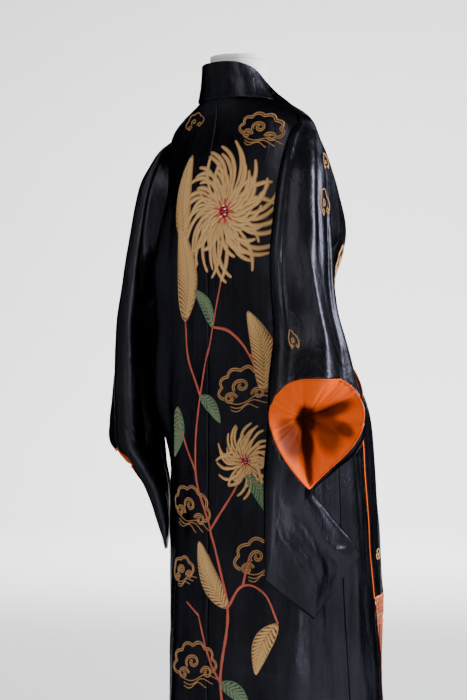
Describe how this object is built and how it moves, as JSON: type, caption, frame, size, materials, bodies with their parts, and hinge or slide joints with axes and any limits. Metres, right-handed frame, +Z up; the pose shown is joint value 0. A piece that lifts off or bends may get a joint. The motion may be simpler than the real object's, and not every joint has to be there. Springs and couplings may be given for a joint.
{
  "type": "kimono robe on limbless dress form",
  "caption": "Lined black silk robe in kimono cut, with hanging sleeves, standing collar and fringed sash, on a limbless dress form with pole and round base.",
  "frame": {"origin": "middle of the underside of the stand's round base", "axes": "+Z up, wearer faces -Y, wearer's right side at -X"},
  "size_m": [0.5879, 0.4174, 1.512],
  "materials": {
    "black_silk": "black silk satin with a soft sheen",
    "orange_silk": "bright orange silk, smooth",
    "fringe_silk": "twisted silk strands, orange and dark brown",
    "form_cloth": "off-white cotton jersey, matt",
    "stand_metal": "grey satin paint"
  },
  "bodies": {
    "root": {"back_left": "black_silk", "back_right": "black_silk", "front_left": "black_silk", "front_right": "black_silk", "sleeve_right": "black_silk", "sleeve_left": "black_silk", "lining_right": "orange_silk", "lining_left": "orange_silk", "collar_back": "black_silk", "collar_left": "black_silk", "collar_right": "black_silk", "sash_band": "black_silk", "sash_knot": "black_silk", "sash_end_outer": "black_silk", "sash_end_inner": "black_silk", "sash_lining_outer": "orange_silk", "sash_lining_inner": "orange_silk", "fringe_outer": "fringe_silk", "fringe_inner": "fringe_silk", "form_torso": "form_cloth", "form_cap": "form_cloth", "stand_pole": "stand_metal", "stand_base": "stand_metal"}
  },
  "joints": []
}
